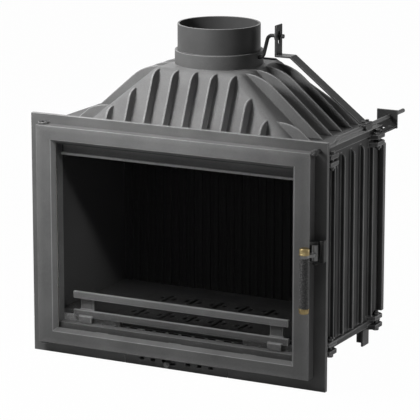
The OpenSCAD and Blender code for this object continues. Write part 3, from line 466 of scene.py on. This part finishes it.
# A rope seal has a round back
rounded("door_seal", 2.4, steps=4)

# The hood is one casting: its fins grow out of the shell in soft fillets and end in round edges
HOOD_CELL_MM = 1.4
HOOD_FACES = 95000
hood = own_copy("hood", "_cast")
settle(hood, "REMESH", mode="VOXEL", voxel_size=HOOD_CELL_MM * MM, use_smooth_shade=True)
settle(hood, "SMOOTH", factor=0.5, iterations=2)
settle(hood, "DECIMATE", ratio=min(1, HOOD_FACES / len(hood.data.polygons)))
pick(hood)
bpy.ops.object.shade_smooth()


def turned(name, rings, sides):
    """A piece drawn ring by ring up the Z axis. Each ring is a radius and a height in millimetres."""
    bpy.ops.object.select_all(action="DESELECT")
    radius, height = rings[0]
    bpy.ops.mesh.primitive_circle_add(vertices=sides, radius=radius * MM, fill_type="NGON",
                                      location=(0, 0, 0))
    piece = bpy.context.object
    piece.name = name
    bpy.ops.object.mode_set(mode="EDIT")
    bpy.ops.mesh.select_all(action="SELECT")
    for wide, high in rings[1:]:
        bpy.ops.mesh.extrude_region_move(TRANSFORM_OT_translate={"value": (0, 0, (high - height) * MM)})
        share = wide / radius
        bpy.ops.transform.resize(value=(share, share, 1), center_override=(0, 0, 0))
        radius, height = wide, high
    bpy.ops.mesh.select_all(action="SELECT")
    bpy.ops.mesh.remove_doubles(threshold=0.001 * MM)
    bpy.ops.mesh.normals_make_consistent(inside=False)
    bpy.ops.object.mode_set(mode="OBJECT")
    return piece


def radius_and_height(node):
    """Radius and height of an upright round node, in millimetres."""
    low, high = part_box(node)
    return (high.x - low.x) / 2 / MM, (high.z - low.z) / MM


def set_on_axis(piece, node, height):
    """Puts a turned piece on a node's upright axis, to stand for that node."""
    low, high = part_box(node)
    piece.data.transform(Matrix.Translation(((low.x + high.x) / 2, (low.y + high.y) / 2, height)))
    pick(piece)
    bpy.ops.object.shade_smooth_by_angle(angle=TURNED_BLEND_ANGLE)
    stand_in(piece, node, nodes[node]["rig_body"])
    finish(piece, finish_of(node))


# The grip is wound. Each turn of the fibre band is a flat ridge between two grooves, given as its
# share of the turn and its depth below the grip's radius.
WINDING_TURNS = 36
GROOVE_MM = 0.6
END_GROOVE_MM = 0.8
BAND = ((0.1, GROOVE_MM), (0.35, 0), (0.7, 0), (0.95, GROOVE_MM))
grip_r, grip_l = radius_and_height("grip_sleeve")
turn = grip_l / WINDING_TURNS
rings = [(grip_r - END_GROOVE_MM, 0)]
for i in range(WINDING_TURNS):
    rings += [(grip_r - depth, turn * (i + part)) for part, depth in BAND]
rings.append((grip_r - END_GROOVE_MM, grip_l))
winding = turned("grip_winding", rings, sides=32)
set_on_axis(winding, "grip_sleeve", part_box("grip_sleeve")[0].z)

# Each brass cap has a bead at its open end and a soft dome, given as steps in from the cap's
# radius with the height above its open end, and then the depth below its crown.
CAP_BEAD = ((0.5, 0), (0, 0.6), (0, 2.4), (0.7, 3.0))
CAP_DOME = ((0.7, 3.6), (1.2, 2.0), (2.4, 0.8), (4.4, 0.1), (6, 0))
for name, upward in (("grip_cap_top", True), ("grip_cap_bottom", False)):
    low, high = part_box(name)
    cap_r, cap_l = radius_and_height(name)
    rings = [(cap_r - step, up) for step, up in CAP_BEAD]
    rings += [(cap_r - step, cap_l - down) for step, down in CAP_DOME]
    cap = turned(name + "_turned", rings, sides=40)
    if not upward:
        cap.data.transform(Matrix.Rotation(math.pi, 4, "X"))
    set_on_axis(cap, name, low.z if upward else high.z)

# How pale the floor is, how much of its seen light is a plain glow, and the level of the light
# that the room sends back
FLOOR_WHITE = hex_colour("c8c8c8")
GLOW_SHARE = 0.985
ROOM_LIGHT = 0.09


def background_rays(tree):
    """One where the camera, a mirror or glass looks at the background."""
    seen = add(tree, "LightPath")
    direct = add(tree, "Math", {"operation": "MAXIMUM"},
                 {0: seen.outputs["Is Camera Ray"], 1: seen.outputs["Is Transmission Ray"]})
    return add(tree, "Math", {"operation": "MAXIMUM"},
               {0: direct.outputs["Value"], 1: seen.outputs["Is Glossy Ray"]}).outputs["Value"]


def paper_floor():
    """White studio paper: matt where it lights the stove, and almost all glow where it is seen."""
    bpy.ops.object.select_all(action="DESELECT")
    bpy.ops.mesh.primitive_plane_add(size=STUDIO_SIZE, location=(0, 0, 0))
    floor = bpy.context.object
    floor.name = "studio_floor"
    paper = bpy.data.materials.new("studio_floor_white")
    paper.use_nodes = True
    tree = paper.node_tree
    tree.nodes.clear()
    share = add(tree, "Math", {"operation": "MULTIPLY", 1: GLOW_SHARE}, {0: background_rays(tree)})
    matt = add(tree, "BsdfDiffuse", {"Color": FLOOR_WHITE})
    glow = add(tree, "Emission", {"Color": (1, 1, 1, 1), "Strength": 1.0})
    both = add(tree, "MixShader", links={0: share.outputs["Value"], 1: matt.outputs["BSDF"],
                                         2: glow.outputs["Emission"]})
    add(tree, "OutputMaterial", links={"Surface": both.outputs["Shader"]})
    finish(floor, paper)
    floor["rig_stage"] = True


def white_room():
    """White walls all round, which send little light back onto the stove."""
    world = bpy.data.worlds.new("studio")
    scene.world = world
    world.use_nodes = True
    tree = world.node_tree
    tree.nodes.clear()
    level = add(tree, "MapRange", {"To Min": ROOM_LIGHT, "To Max": 1.0}, {"Value": background_rays(tree)})
    sky = add(tree, "Background", {"Color": (1, 1, 1, 1)}, {"Strength": level.outputs["Result"]})
    add(tree, "OutputWorld", links={"Surface": sky.outputs["Background"]})


def soft_lamp(name, place, aim, width, power, spread=180):
    """A square soft box at place that faces aim, with a grid that narrows its light to spread degrees."""
    bpy.ops.object.light_add(type="AREA", location=place, rotation=look(Vector(place), Vector(aim)))
    lamp = bpy.context.object
    lamp.name = name
    lamp.data.size = width
    lamp.data.energy = power
    lamp.data.spread = math.radians(spread)


paper_floor()
white_room()

# The main light comes from the upper left, close to the frame, and throws the fins' shadows
HOOD_FRONT = (0.0, -0.2, 0.45)
soft_lamp("key_over_left_corner", (-0.3, -0.63, 1.06), HOOD_FRONT, width=0.2, power=8.2)
soft_lamp("key_left_front", (-0.5, -0.75, 0.75), HOOD_FRONT, width=0.3, power=0.7)
soft_lamp("key_middle_front", (-0.15, -0.75, 0.75), HOOD_FRONT, width=0.3, power=0.6)
soft_lamp("top_left", (-0.8, -0.5, 2.4), (0.0, 0.1, 0.5), width=0.15, power=15)

# The right wall's ribs get a low light from behind, and the left lining one through the window
soft_lamp("fill_right", (1.35, 0.85, 0.3), (0.33, 0.05, 0.25), width=0.3, power=0.31, spread=40)
soft_lamp("spill_right", (1.5, -1.0, 1.5), (-0.3, -0.1, 0.2), width=0.15, power=0.22, spread=14)

# The back, which the photograph doesn't show, gets a broad light of its own
soft_lamp("fill_rear_left", (-1.6, 2.2, 1.7), (0.0, 0.0, 0.4), width=1.4, power=14)

low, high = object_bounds()
